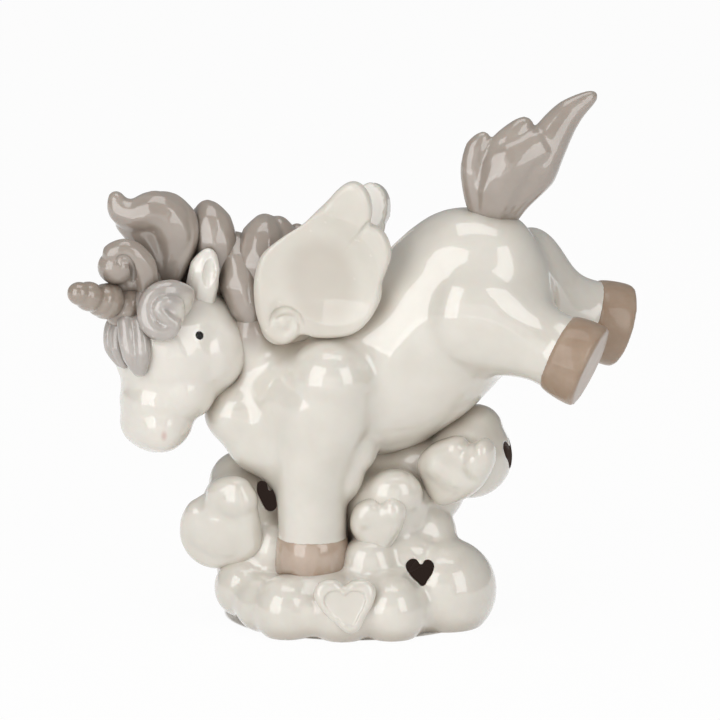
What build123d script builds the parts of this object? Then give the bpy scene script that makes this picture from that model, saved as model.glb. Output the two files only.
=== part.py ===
from build123d import *
from math import cos, radians, sin
import os

# Unicorn figurine in glazed porcelain, in millimetres, +Z up.
# The origin is on the table, under the middle of the figurine.
# The animal faces -X and turns its head towards -Y; left and right are the animal's own.

# Cloud base
cloud_length = 86
cloud_depth = 76
cloud_height = 64
lump_radius = 10
wall = 3
shelf_height = 16.5
shelf_half_length = 35
shelf_half_depth = 27
column_half_length = 27
column_half_depth = 14
column_set_back = 4
column_height = 40
column_top_thickness = 5

# Heart-shaped openings in the cloud
opening_width = 9.2
opening_height = 8.8

# Applied hearts: width, height, thickness
large_heart_size = (27.5, 27, 16)
upper_heart_size = (22.5, 22, 12)
middle_heart_size = (19.5, 19.5, 10)
low_heart_size = (19, 17, 6)
back_heart_size = (18, 18, 9)
heart_sunk = 1.5

# Body
body_yaw = 15
torso_length = 110
torso_width = 43
torso_height = 53
torso_above_shelf = 65.5
torso_ahead_of_middle = 7.1
neck_thickness = 34

# Head
head_yaw = 48
head_length = 48
head_width = 39
head_height = 40
muzzle_width = 25
muzzle_depth = 22
muzzle_drop = 31
eye_radius = 1.5
eye_sunk = 0.5
ear_height = 15
ear_width = 11
ear_thickness = 6.5
ear_hollow = 5.4

# Horn
horn_length = 31
horn_yaw = 40
horn_pitch = 16
horn_width = 12.5
horn_band_tilt = 14

# Hair: widest measure of each lock
curl_width = 9.5
swirl_width = 15
front_lock_width = 7
side_lock_width = 6
mane_width = 21
mane_depth = 15

# Wings
wing_width = 43
wing_height = 53
wing_thickness = 5.5
wing_roll_width = 7
wing_dish_radius = 60
wing_dish_depth = 2.2
wing_root_offset = 17
wing_lean = 9
right_wing_drop = 4.5

# Legs
foreleg_width = 21
fore_hoof_width = 22.4
fore_hoof_height = 11
foreleg_spread = 28
hind_leg_width = 38
hind_hoof_width = 24
hind_hoof_length = 10.5

# Tail
tail_length = 52
tail_width = 20

side_of_body = Vector(sin(radians(body_yaw)), cos(radians(body_yaw)), 0)
along_body = Vector(cos(radians(body_yaw)), -sin(radians(body_yaw)), 0)
face_heading = Vector(-cos(radians(head_yaw)), -sin(radians(head_yaw)), 0)
face_side = Vector(sin(radians(head_yaw)), -cos(radians(head_yaw)), 0)
up = Vector(0, 0, 1)
full_turn = 360
quarter_turn = 90
to_the_right = Vector(1, 0, 0)
away = Vector(0, 1, 0)

torso_centre = Vector(torso_ahead_of_middle, 0, shelf_height + torso_above_shelf)
head_shares = (-0.53, -0.05, 0.015)
head_centre = torso_centre + Vector(*head_shares) * torso_length


def spots(start, size, shares):
    """Places around a start, each given as shares of one size along X, Y and Z."""
    return [start + Vector(*share) * size for share in shares]


def oval(plane, half_width, half_height):
    """An ellipse on the plane, drawn as four arcs so that no surface closes on itself."""
    with BuildSketch(plane) as ellipse:
        with BuildLine():
            for start in range(0, full_turn, quarter_turn):
                EllipticalCenterArc((0, 0), half_width, half_height, start_angle=start,
                                    arc_size=quarter_turn)
        make_face()
    return ellipse.sketch.face()


def rings(places, half_sizes, side):
    """Ellipses set square to the path through the places, one at each place."""
    faces = []
    for index, (place, (half_width, half_height)) in enumerate(zip(places, half_sizes)):
        before = places[max(index - 1, 0)]
        after = places[min(index + 1, len(places) - 1)]
        heading = (after - before).normalized()
        across = side - heading * side.dot(heading)
        faces.append(oval(Plane(place, x_dir=across, z_dir=heading), half_width, half_height))
    return faces


def swelling(places, width_shares, width, height, side, closed_start=True, closed_end=True):
    """Sections of a round form along a path; a closed end runs out to a rounded tip."""
    first = 1 if closed_start else 0
    last = len(places) - 1 if closed_end else len(places)
    halves = [(w * width / 2, h * height / 2) for w, h in width_shares]
    sections = rings(places[first:last], halves, side)
    if closed_start:
        sections = [Vertex(*places[0])] + sections
    if closed_end:
        sections = sections + [Vertex(*places[-1])]
    return sections


ball_place_shares = (-1, -0.9, -0.5, 0, 0.5, 0.9, 1)
ball_half_shares = [((1 - share ** 2) ** 0.5,) * 2 for share in ball_place_shares[1:-1]]


def egg(centre, heading, half_length, width, height, side):
    """A solid of revolution like a ball, drawn out along its heading."""
    places = [centre + heading * (half_length * share) for share in ball_place_shares]
    with BuildPart() as solid:
        loft(swelling(places, ball_half_shares, width, height, side))
    return solid.part


def mirrored(form):
    """The form on the other side of the body's middle plane."""
    return form.mirror(Plane(torso_centre, x_dir=along_body, z_dir=side_of_body))


# Cloud: lumps round a shelf, and a column of lumps that carries the belly.
# Shares of the cloud's length, depth and height, then of the lump radius.
lump_shares = [
    (-0.38, -0.16, 0.17, 0.95),
    (-0.23, -0.33, 0.12, 1.05),
    (-0.04, -0.36, 0.12, 1.05),
    (0.13, -0.34, 0.12, 1.10),
    (0.32, -0.17, 0.165, 1.55),
    (0.32, 0.19, 0.11, 1.15),
    (0.13, 0.35, 0.13, 1.10),
    (-0.06, 0.355, 0.12, 1.10),
    (-0.23, 0.32, 0.13, 1.10),
    (-0.37, 0.13, 0.17, 1.05),
    (-0.395, 0.05, 0.61, 1.02),
    (-0.29, 0.13, 0.55, 1.30),
    (-0.22, 0.03, 0.48, 1.30),
    (0.11, -0.08, 0.53, 1.40),
    (0.405, -0.04, 0.77, 1.30),
    (0.27, 0.03, 0.59, 1.40),
    (0.04, 0.18, 0.59, 1.45),
    (0.25, 0.17, 0.55, 1.15),
    (-0.39, -0.04, 0.51, 1.30),
    (0.43, -0.03, 0.89, 0.80),
]
thin_lump_numbers = (4, 5, 11, 12, 14, 15, 18)


def lump(number):
    """Centre and radius of one lump."""
    x, y, z, radius = lump_shares[number]
    return Vector(x * cloud_length, y * cloud_depth, z * cloud_height), radius * lump_radius


column_foot = Plane((0, column_set_back, 0))

with BuildPart() as cloud_form:
    extrude(oval(Plane.XY, shelf_half_length, shelf_half_depth), amount=shelf_height)
    extrude(oval(column_foot, column_half_length, column_half_depth), amount=column_height)
    for number in range(len(lump_shares)):
        centre, radius = lump(number)
        add(egg(centre, up, radius, radius * 2, radius * 2, to_the_right))
    split(bisect_by=Plane.XY, keep=Keep.TOP)

with BuildPart() as cavity:
    extrude(oval(Plane.XY, shelf_half_length - wall, shelf_half_depth - wall),
            amount=shelf_height - wall)
    extrude(oval(column_foot, column_half_length - wall, column_half_depth - wall),
            amount=column_height - column_top_thickness)
    for number in thin_lump_numbers:
        centre, radius = lump(number)
        inner = radius - wall
        add(egg(centre, up, inner, inner * 2, inner * 2, to_the_right))

# Openings: lump number, direction out of it as shares, and the turn of the heart in degrees
opening_shares = [
    (4, (-0.47, -0.73, 0.49), 0),
    (18, (0.55, -0.78, 0.28), 0),
    (14, (0.95, -0.25, 0.12), 10),
    (11, (-0.64, 0.74, 0.20), 0),
]
half_heart_shares = [
    [(0, 0.24), (0.10, 0.52), (0.52, 0.56), (0.50, 0.12)],
    [(0.50, 0.12), (0.46, -0.16), (0.16, -0.30), (0, -0.50)],
]


def facing(place, outward, turn):
    """A plane that faces outward, level across, then turned in its own face by some degrees."""
    level = up.cross(outward).normalized()
    across = level.rotate(Axis((0, 0, 0), outward), turn)
    return Plane(place, x_dir=across, z_dir=outward)


def heart_opening(plane, depth):
    """A heart-shaped bar that runs inwards from the plane."""
    with BuildPart() as bar:
        with BuildSketch(plane):
            with BuildLine():
                for half_shares in half_heart_shares:
                    Bezier(*[(x * opening_width, y * opening_height) for x, y in half_shares])
                    Bezier(*[(-x * opening_width, y * opening_height) for x, y in half_shares])
            make_face()
        extrude(amount=-depth)
    return bar.part


with BuildPart() as cloud_base:
    add(cloud_form.part)
    add(cavity.part, mode=Mode.SUBTRACT)
    for number, direction_shares, turn in opening_shares:
        centre, radius = lump(number)
        outward = Vector(*direction_shares).normalized()
        mouth = facing(centre + outward * (radius + wall), outward, turn)
        add(heart_opening(mouth, radius + wall), mode=Mode.SUBTRACT)

# Applied hearts, each made of two lobes that run together at the point.
# Places in shares of the heart's width and height, half sizes in shares of width and thickness.
lobe_place_shares = [
    (0.25, 0.50), (0.25, 0.40), (0.235, 0.14), (0.16, -0.12), (0.07, -0.35), (0, -0.52),
]
lobe_half_shares = [(0.36, 0.62), (0.52, 1.00), (0.46, 0.96), (0.24, 0.62)]
middle_place_shares = [(0, 0.30), (0, 0.18), (0, -0.10), (0, -0.34), (0, -0.52)]
middle_half_shares = [(0.50, 0.80), (0.60, 1.00), (0.34, 0.66)]


def puffy_heart(plane, size):
    """A rounded heart in the plane, with its point towards the plane's -Y."""
    width, height, thickness = size
    with BuildPart() as heart:
        for hand in (1, -1):
            places = [plane.from_local_coords(Vector(hand * x * width, y * height, 0))
                      for x, y in lobe_place_shares]
            loft(swelling(places, lobe_half_shares, width, thickness, plane.x_dir))
        places = [plane.from_local_coords(Vector(x * width, y * height, 0))
                  for x, y in middle_place_shares]
        loft(swelling(places, middle_half_shares, width, thickness, plane.x_dir))
    return heart.part


def heart_plane(lump_number, direction_shares, turn, sunk):
    """Plane of a heart laid on a lump, sunk a little into it."""
    centre, radius = lump(lump_number)
    outward = Vector(*direction_shares).normalized()
    return facing(centre + outward * (radius - sunk), outward, turn)


heart_seats = {
    "heart_left_large": (18, (-0.36, -0.90, -0.20), 42, large_heart_size),
    "heart_right_upper": (14, (-0.44, -0.86, -0.24), -28, upper_heart_size),
    "heart_front_middle": (13, (-0.15, -0.98, -0.10), 8, middle_heart_size),
    "heart_front_low": (2, (0.05, -0.97, 0.22), 0, low_heart_size),
    "heart_back_left": (16, (-0.15, 0.98, 0.10), 12, back_heart_size),
    "heart_back_right": (5, (0.20, 0.85, 0.45), -12, back_heart_size),
}
heart_forms = {
    name: puffy_heart(heart_plane(number, direction, turn, heart_sunk), size)
    for name, (number, direction, turn, size) in heart_seats.items()
}

# Torso, from the breast to the tail
torso_shares = [
    (-0.38, 0.10, -0.24), (-0.33, 0.09, -0.20), (-0.21, 0.06, -0.14), (-0.08, 0.02, -0.08),
    (0.055, -0.01, -0.02), (0.17, -0.045, 0.09), (0.27, -0.07, 0.19), (0.34, -0.09, 0.27),
    (0.39, -0.10, 0.335),
]
torso_half_shares = [
    (0.58, 0.58), (0.88, 0.88), (1.00, 1.00), (1.00, 1.02), (0.96, 0.97), (0.90, 0.96), (0.72, 0.78),
]
# The breast swells forward and down to the cloud: places, and half sizes, in shares of the torso's length
breast_shares = [
    ((-0.30, -0.055, -0.20), 0.123),
    ((-0.245, -0.065, -0.29), 0.10),
]
with BuildPart() as torso_form:
    torso_places = spots(torso_centre, torso_length, torso_shares)
    loft(swelling(torso_places, torso_half_shares, torso_width, torso_height, side_of_body))
    for place_share, half_share in breast_shares:
        breast_half = torso_length * half_share
        add(egg(torso_centre + Vector(*place_share) * torso_length, up, breast_half, breast_half * 2,
                breast_half * 2, side_of_body))

# Neck, from inside the breast to inside the head
neck_shares = [(-0.19, 0.055, -0.14), (-0.31, 0.045, -0.09), (-0.40, 0.01, -0.02), (-0.46, -0.02, 0.03)]
neck_half_shares = [(1.10, 1.20), (1.02, 1.12), (0.94, 1.00), (0.86, 0.88)]
with BuildPart() as neck_form:
    neck_places = spots(torso_centre, torso_length, neck_shares)
    loft(swelling(neck_places, neck_half_shares, neck_thickness, neck_thickness, side_of_body,
                  closed_start=False, closed_end=False))


def on_head(forward, sideways, lift):
    """Place given in shares of the head's half length, half width and half height."""
    return (head_centre + face_heading * (forward * head_length / 2)
            + face_side * (sideways * head_width / 2) + up * (lift * head_height / 2))


# Head: an egg for the skull, the muzzle that runs down and forward from it, cheeks and chin.
# Cheeks and chin have places as shares on the head, then half sizes as shares of the head's width.
cheek_shares = [(-0.06, 0.46, -0.02), (-0.06, -0.46, -0.02)]
cheek_half_share = 0.32
chin_share = (0.46, 0, -1.0)
chin_half_share = 0.31
chin_depth_share = 0.27
skull_place_shares = (-1, -0.93, -0.6, 0, 0.6, 0.93, 1)
skull_half_shares = (0.37, 0.80, 1, 0.80, 0.37)
muzzle_forward_share = 0.46
muzzle_place_shares = (0, 0.36, 0.66, 0.88, 1)
muzzle_half_shares = [(1.30, 1.55), (1.08, 1.20), (1.00, 1.00), (0.64, 0.66)]
muzzle_end = on_head(muzzle_forward_share, 0, 0) - up * muzzle_drop
with BuildPart() as head_form:
    skull_places = [on_head(share, 0, 0) for share in skull_place_shares]
    loft(swelling(skull_places, [(share, share) for share in skull_half_shares],
                  head_width, head_height, face_side))
    muzzle_places = [head_centre + (muzzle_end - head_centre) * share for share in muzzle_place_shares]
    loft(swelling(muzzle_places, muzzle_half_shares, muzzle_width, muzzle_depth, face_side,
                  closed_start=False))
    for place_share in cheek_shares:
        cheek_half = head_width * cheek_half_share
        add(egg(on_head(*place_share), face_side, cheek_half, cheek_half * 2, cheek_half * 2, face_heading))
    chin_depth = head_width * chin_depth_share * 2
    add(egg(on_head(*chin_share), face_side, head_width * chin_half_share, chin_depth, chin_depth,
            face_heading))

# Eyes: enamel dots let into the skull
eye_shares = (0.44, 0.80, 0.36)


def eye(hand):
    forward, sideways, lift = eye_shares
    place = on_head(forward, hand * sideways, lift)
    inward = (head_centre - place).normalized()
    with BuildPart() as dot:
        with Locations(place + inward * eye_sunk):
            Sphere(eye_radius)
    return dot.part


# Ears: a leaf that is hollow in front
ear_root_shares = (0.02, 0.46, 0.80)
ear_lean_shares = (-0.10, 0.16, 1)
ear_along_shares = (0, 0.08, 0.36, 0.68, 0.90, 1)
ear_half_shares = [(0.62, 0.80), (1.00, 1.00), (0.84, 0.80), (0.42, 0.42)]
ear_hollow_shares = [(0.20, 0.30), (0.62, 0.80), (0.50, 0.60), (0.15, 0.20)]


def ear(hand):
    forward, sideways, lift = ear_root_shares
    back, out, rise = ear_lean_shares
    root = on_head(forward, hand * sideways, lift)
    lean = (face_heading * back + face_side * (hand * out) + up * rise).normalized()
    places = [root + lean * (ear_height * share) for share in ear_along_shares]
    hollow_shift = (face_heading + face_side * hand).normalized() * (ear_thickness / 2)
    with BuildPart() as leaf:
        loft(swelling(places, ear_half_shares, ear_width, ear_thickness, face_side))
        loft(swelling([place + hollow_shift for place in places], ear_hollow_shares,
                      ear_width, ear_hollow, face_side), mode=Mode.SUBTRACT)
    return leaf.part


# Horn: fat bands, tilted as they wind round it, each a little narrower than the one below
horn_root_shares = (0.50, 0, 0.66)
horn_band_width_shares = (1, 0.88, 0.76, 0.62, 0.46)
horn_band_place_shares = (0.06, 0.28, 0.50, 0.71, 0.88)
horn_band_half_share = 0.17
horn_heading = Vector(-cos(radians(horn_yaw)) * cos(radians(horn_pitch)),
                      -sin(radians(horn_yaw)) * cos(radians(horn_pitch)), sin(radians(horn_pitch)))
horn_root = on_head(*horn_root_shares)
with BuildPart() as horn_form:
    band_heading = horn_heading.rotate(Axis.Y, horn_band_tilt)
    for place_share, width_share in zip(horn_band_place_shares, horn_band_width_shares):
        band_width = horn_width * width_share
        add(egg(horn_root + horn_heading * (horn_length * place_share), band_heading,
                horn_length * horn_band_half_share, band_width, band_width, away))

# Hair: each lock is one to three strands, from root to tip, in shares of the head's length from its centre
lock_shares = {
    "forelock_curl": [[
        (-0.15, -0.24, 0.32), (-0.15, -0.28, 0.44), (-0.18, -0.31, 0.57), (-0.26, -0.32, 0.65),
        (-0.35, -0.32, 0.67), (-0.42, -0.32, 0.63),
    ]],
    "forelock_swirl": [[
        (0.05, -0.32, 0.45), (-0.01, -0.38, 0.40), (-0.06, -0.42, 0.34), (-0.09, -0.44, 0.26),
        (-0.10, -0.45, 0.20), (-0.09, -0.45, 0.13),
    ]],
    "forelock_front_lock": [[
        (-0.31, -0.36, 0.26), (-0.30, -0.40, 0.18), (-0.27, -0.41, 0.07), (-0.25, -0.40, -0.03),
        (-0.24, -0.38, -0.13),
    ]],
    "forelock_side_lock": [[
        (-0.38, -0.20, 0.26), (-0.42, -0.22, 0.15), (-0.41, -0.24, 0.04), (-0.37, -0.26, -0.06),
    ]],
    "mane_lock_1": [
        [(-0.07, 0.01, 0.34), (-0.08, -0.03, 0.51), (-0.08, -0.05, 0.70), (-0.12, -0.07, 0.88),
         (-0.14, -0.08, 0.99)],
        [(-0.07, -0.05, 0.79), (-0.19, -0.07, 0.84), (-0.30, -0.09, 0.87), (-0.39, -0.11, 0.90),
         (-0.43, -0.12, 0.98)],
        [(-0.13, -0.09, 0.37), (-0.14, -0.12, 0.54), (-0.15, -0.14, 0.66), (-0.22, -0.12, 0.75),
         (-0.32, -0.11, 0.78)],
    ],
    "mane_lock_2": [
        [(0.21, -0.03, 0.34), (0.22, -0.05, 0.52), (0.20, -0.03, 0.69), (0.19, -0.01, 0.82),
         (0.17, 0.01, 0.92)],
        [(0.36, -0.09, 0.33), (0.34, -0.07, 0.49), (0.31, -0.04, 0.62), (0.27, -0.01, 0.74),
         (0.20, 0.01, 0.87)],
    ],
    "mane_lock_3": [
        [(0.51, 0.03, 0.33), (0.51, 0.03, 0.50), (0.52, 0.05, 0.64), (0.52, 0.06, 0.74),
         (0.52, 0.07, 0.82)],
        [(0.72, 0.09, 0.29), (0.72, 0.09, 0.45), (0.71, 0.09, 0.58), (0.67, 0.09, 0.67),
         (0.63, 0.09, 0.74)],
    ],
    "mane_lock_4": [[
        (0.76, 0.11, 0.29), (0.75, 0.11, 0.42), (0.74, 0.14, 0.53), (0.74, 0.15, 0.60),
        (0.73, 0.16, 0.66),
    ]],
    "mane_lock_5": [[
        (0.30, 0.01, 0.59), (0.36, -0.05, 0.44), (0.41, -0.10, 0.33), (0.44, -0.14, 0.24),
        (0.46, -0.15, 0.18),
    ]],
}
# Half depth and half width of each strand from its root on, in shares of the lock's depth and width
lock_half_shares = {
    "forelock_curl": [[(0.70, 0.70), (0.76, 0.72), (0.76, 0.72), (0.76, 0.72), (0.62, 0.60)]],
    "forelock_swirl": [[(0.60, 0.45), (0.84, 0.72), (1.00, 0.92), (0.90, 0.92), (0.60, 0.60)]],
    "forelock_front_lock": [[(0.90, 0.90), (1.00, 1.00), (0.95, 0.95), (0.60, 0.60)]],
    "forelock_side_lock": [[(0.90, 0.90), (1.00, 1.00), (0.80, 0.80)]],
    "mane_lock_1": [
        [(0.85, 0.75), (1.00, 0.88), (0.95, 0.88), (0.70, 0.60)],
        [(0.80, 0.60), (0.70, 0.50), (0.58, 0.40), (0.46, 0.32)],
        [(0.48, 0.34), (0.54, 0.40), (0.54, 0.40), (0.48, 0.36)],
    ],
    "mane_lock_2": [
        [(0.90, 0.75), (0.90, 0.80), (0.75, 0.68), (0.50, 0.48)],
        [(0.50, 0.36), (0.54, 0.38), (0.52, 0.38), (0.46, 0.34)],
    ],
    "mane_lock_3": [
        [(0.90, 0.85), (0.90, 0.85), (0.75, 0.78), (0.50, 0.56)],
        [(0.54, 0.38), (0.54, 0.38), (0.50, 0.36), (0.44, 0.32)],
    ],
    "mane_lock_4": [[(0.90, 0.80), (0.90, 0.80), (0.70, 0.70), (0.45, 0.48)]],
    "mane_lock_5": [[(0.70, 0.54), (0.80, 0.62), (0.74, 0.58), (0.56, 0.46)]],
}
curl_ball_shares = (-0.40, -0.33, 0.52)
lock_sizes = {
    "forelock_curl": (curl_width, curl_width),
    "forelock_swirl": (swirl_width, swirl_width / 2),
    "forelock_front_lock": (front_lock_width, front_lock_width),
    "forelock_side_lock": (side_lock_width, side_lock_width),
    "mane_lock_1": (mane_width, mane_depth),
    "mane_lock_2": (mane_width, mane_depth),
    "mane_lock_3": (mane_width, mane_depth),
    "mane_lock_4": (mane_width, mane_depth),
    "mane_lock_5": (mane_width, mane_depth),
}


def lock(name):
    """A lock of hair, modelled as lofted strands that run together."""
    width, depth = lock_sizes[name]
    with BuildPart() as form:
        for strand, halves in zip(lock_shares[name], lock_half_shares[name]):
            places = spots(head_centre, head_length, strand)
            loft(swelling(places, halves, depth, width, away, closed_start=False))
        if name == "forelock_curl":
            ball_centre = head_centre + Vector(*curl_ball_shares) * head_length
            add(egg(ball_centre, up, curl_width / 2, curl_width, curl_width, away))
    return form.part


lock_forms = {name: lock(name) for name in lock_shares}

# Wings: outline in shares of the wing's width and height, from the rolled root round by the tip
wing_front_shares = [
    (0.11, 0.06), (-0.04, 0.13), (-0.07, 0.41), (0.12, 0.68), (0.36, 0.84), (0.57, 0.99), (0.63, 1.02),
]
wing_tip_shares = [(0.63, 1.02), (0.73, 0.99), (0.78, 0.89), (0.75, 0.78)]
wing_back_shares = [(0.75, 0.78), (0.84, 0.76), (0.90, 0.61), (0.81, 0.42)]
wing_low_shares = [(0.81, 0.42), (0.78, 0.30), (0.61, 0.15), (0.36, 0.11), (0.11, 0.06)]
wing_roll_shares = [
    (0.62, 0.98), (0.55, 0.94), (0.39, 0.83), (0.25, 0.72), (0.12, 0.63), (0.01, 0.52), (-0.02, 0.40),
    (-0.02, 0.27), (0.01, 0.16), (0.07, 0.09), (0.15, 0.09), (0.19, 0.15),
]
wing_roll_half_shares = [
    (0.56, 0.50), (0.64, 0.56), (0.72, 0.62), (0.80, 0.72), (0.90, 0.86), (0.96, 0.92), (0.96, 0.92),
    (0.90, 0.86), (0.76, 0.72), (0.60, 0.56),
]
wing_root_shares = (-0.24, 0.06, 0.02)
wing_dish_shares = (0.45, 0.47)

wing_root = (torso_centre + Vector(*wing_root_shares) * torso_length
             - side_of_body * wing_root_offset)
wing_outward = (side_of_body * -1).rotate(Axis((0, 0, 0), along_body), wing_lean)
wing_plane = Plane(wing_root, x_dir=along_body, z_dir=wing_outward)


def wing_points(shares):
    return [(x * wing_width, y * wing_height) for x, y in shares]


with BuildPart() as wing_form:
    with BuildSketch(wing_plane):
        with BuildLine():
            Spline(*wing_points(wing_front_shares))
            Spline(*wing_points(wing_tip_shares))
            Spline(*wing_points(wing_back_shares))
            Spline(*wing_points(wing_low_shares))
        make_face()
    extrude(amount=wing_thickness)
    dish_x, dish_y = wing_dish_shares
    dish_centre = Vector(dish_x * wing_width, dish_y * wing_height,
                         wing_thickness + wing_dish_radius - wing_dish_depth)
    with Locations(wing_plane.from_local_coords(dish_centre)):
        Sphere(wing_dish_radius, mode=Mode.SUBTRACT)
    roll_places = [wing_plane.from_local_coords(Vector(x * wing_width, y * wing_height, wing_thickness / 2))
                   for x, y in wing_roll_shares]
    loft(swelling(roll_places, wing_roll_half_shares, wing_roll_width, wing_roll_width,
                  wing_plane.z_dir))

# Legs
fore_hoof_shares = (-0.145, -0.195)
hoof_x, hoof_y = fore_hoof_shares
left_hoof_place = Vector(hoof_x * cloud_length, hoof_y * cloud_depth, shelf_height)
leg_top_shares = (-0.09, -0.02, -0.06)
shoulder_length_share = 0.62
shoulder_width_share = 1.34
foreleg_rise_shares = (0, 0.16, 0.42, 0.72, 1)
foreleg_half_shares = [(0.98, 0.98), (1.00, 1.00), (1.12, 1.10), (1.36, 1.26), (1.30, 1.20)]
foreleg_forward_shares = (0, 0, 0.02, 0.45, 1)
hoof_half_shares = [(1.00, 1.00), (1.00, 1.00), (0.92, 0.92)]
hoof_rise_shares = (0, 0.45, 1)


def foreleg(hoof_place, leg_top):
    """A standing leg: its hoof, and the leg from the hoof up into the torso."""
    ankle = hoof_place + up * fore_hoof_height
    reach = leg_top - ankle
    leg_places = [ankle + Vector(reach.X * lean, reach.Y * lean, reach.Z * rise)
                  for lean, rise in zip(foreleg_forward_shares, foreleg_rise_shares)]
    hoof_places = [hoof_place + up * (fore_hoof_height * rise) for rise in hoof_rise_shares]
    with BuildPart() as leg:
        loft(swelling(leg_places, foreleg_half_shares, foreleg_width, foreleg_width, to_the_right,
                      closed_start=False, closed_end=False))
        add(egg(leg_top, up, foreleg_width * shoulder_length_share, foreleg_width * shoulder_width_share,
                foreleg_width * shoulder_width_share, to_the_right))
    with BuildPart() as hoof:
        loft(swelling(hoof_places, hoof_half_shares, fore_hoof_width, fore_hoof_width, to_the_right,
                      closed_start=False, closed_end=False))
    return leg.part, hoof.part


left_leg_top = torso_centre + Vector(*leg_top_shares) * torso_length - side_of_body * (foreleg_spread / 2)
left_foreleg_form, left_fore_hoof_form = foreleg(left_hoof_place, left_leg_top)
right_hoof_place = left_hoof_place + side_of_body * foreleg_spread
right_leg_top = left_leg_top + side_of_body * foreleg_spread
right_foreleg_form, right_fore_hoof_form = foreleg(right_hoof_place, right_leg_top)

# Hind legs: from the haunch back to the hoof, in shares of the torso's length from its centre
left_hind_shares = [
    (0.18, -0.10, 0.14), (0.25, -0.126, 0.125), (0.32, -0.153, 0.10), (0.40, -0.18, 0.065),
    (0.48, -0.205, 0.03),
]
right_hind_shares = [
    (0.32, 0.03, 0.17), (0.35, 0.04, 0.15), (0.42, 0.055, 0.11), (0.50, 0.07, 0.07),
    (0.58, 0.085, 0.045),
]
hind_half_shares = [(0.70, 0.80), (0.92, 1.00), (0.80, 0.92), (0.62, 0.68), (0.56, 0.60)]
hind_hoof_half_shares = [(0.93, 0.93), (1.02, 1.02), (1.02, 1.02)]
hind_hoof_along_shares = (0, 0.6, 1)


def hind_leg(shares):
    """A leg thrown out behind, with its hoof at the end."""
    places = spots(torso_centre, torso_length, shares)
    heading = (places[-1] - places[-2]).normalized()
    hoof_places = [places[-1] + heading * (hind_hoof_length * share) for share in hind_hoof_along_shares]
    with BuildPart() as leg:
        loft(swelling(places, hind_half_shares, hind_leg_width, hind_leg_width, side_of_body,
                      closed_start=False, closed_end=False))
    with BuildPart() as hoof:
        loft(swelling(hoof_places, hind_hoof_half_shares, hind_hoof_width, hind_hoof_width,
                      side_of_body, closed_start=False, closed_end=False))
    return leg.part, hoof.part


left_hind_leg_form, left_hind_hoof_form = hind_leg(left_hind_shares)
right_hind_leg_form, right_hind_hoof_form = hind_leg(right_hind_shares)

# Tail: three flames on one root, in shares of the tail's length from the root
tail_root_shares = (0.30, -0.08, 0.30)
tail_root = torso_centre + Vector(*tail_root_shares) * torso_length
flame_shares = [
    [(0.0, 0.0, 0.10), (-0.06, 0.0, 0.30), (-0.09, 0.0, 0.44), (-0.08, 0.0, 0.56), (-0.04, 0.0, 0.65)],
    [(0.02, 0.0, 0.10), (0.06, 0.0, 0.31), (0.09, 0.0, 0.46), (0.13, 0.0, 0.61), (0.21, 0.0, 0.73)],
    [(0.05, 0.0, 0.10), (0.16, 0.01, 0.29), (0.27, 0.02, 0.43), (0.34, 0.03, 0.59), (0.46, 0.03, 0.74),
     (0.56, 0.04, 0.83), (0.61, 0.04, 0.87)],
]
# Half depth and half width of each flame from its root on, in shares of the tail's width
flame_half_shares = [
    [(0.50, 0.40), (0.56, 0.46), (0.54, 0.46), (0.40, 0.34)],
    [(0.50, 0.46), (0.60, 0.56), (0.56, 0.50), (0.42, 0.36)],
    [(0.50, 0.40), (0.56, 0.48), (0.54, 0.56), (0.46, 0.46), (0.36, 0.36), (0.24, 0.24)],
]
with BuildPart() as tail_form:
    for path, halves in zip(flame_shares, flame_half_shares):
        flame = spots(tail_root, tail_length, path)
        loft(swelling(flame, halves, tail_width, tail_width, away, closed_start=False))


def seated(form, *neighbours):
    """The form, less what its neighbours already fill."""
    with BuildPart() as piece:
        add(form)
        for neighbour in neighbours:
            add(neighbour, mode=Mode.SUBTRACT)
        add(piece.part.solids().sort_by(SortBy.VOLUME)[-1], mode=Mode.REPLACE)
    return piece


cloud = cloud_form.part
torso_body = torso_form.part
neck_body = neck_form.part
skull = head_form.part

pieces = {"cloud_base": cloud_base}
for name, form in heart_forms.items():
    pieces[name] = seated(form, cloud)
pieces["torso"] = seated(torso_body, skull, cloud, heart_forms["heart_right_upper"])
pieces["neck"] = seated(neck_body, torso_body, skull, cloud)
pieces["head"] = seated(skull)
pieces["left_eye"] = seated(eye(1), skull)
pieces["right_eye"] = seated(eye(-1), skull)
pieces["left_ear"] = seated(ear(1), skull)
pieces["right_ear"] = seated(ear(-1), skull)
pieces["horn"] = seated(horn_form.part, skull)

earlier = [skull, neck_body, torso_body, pieces["left_ear"].part, pieces["right_ear"].part, horn_form.part,
           eye(1), eye(-1)]
for name, form in lock_forms.items():
    pieces[name] = seated(form, *earlier)
    earlier.append(form)

right_wing_shift = up * -right_wing_drop
right_wing_form = mirrored(wing_form.part).moved(Location(right_wing_shift))
mane = [form for name, form in lock_forms.items() if name.startswith("mane")]
pieces["left_wing"] = seated(wing_form.part, torso_body, neck_body, skull, *mane)
pieces["right_wing"] = seated(right_wing_form, torso_body, neck_body, right_foreleg_form, *mane)
pieces["left_fore_hoof"] = seated(left_fore_hoof_form, cloud)
pieces["right_fore_hoof"] = seated(right_fore_hoof_form, cloud)
pieces["left_foreleg"] = seated(left_foreleg_form, torso_body, neck_body, cloud,
                                heart_forms["heart_front_middle"], heart_forms["heart_left_large"])
pieces["right_foreleg"] = seated(right_foreleg_form, left_foreleg_form, torso_body, neck_body, cloud,
                                 heart_forms["heart_back_left"])
pieces["left_hind_leg"] = seated(left_hind_leg_form, torso_body)
pieces["right_hind_leg"] = seated(right_hind_leg_form, torso_body, left_hind_leg_form)
pieces["left_hind_hoof"] = seated(left_hind_hoof_form)
pieces["right_hind_hoof"] = seated(right_hind_hoof_form)
pieces["tail"] = seated(tail_form.part, torso_body, left_hind_leg_form)

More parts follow.
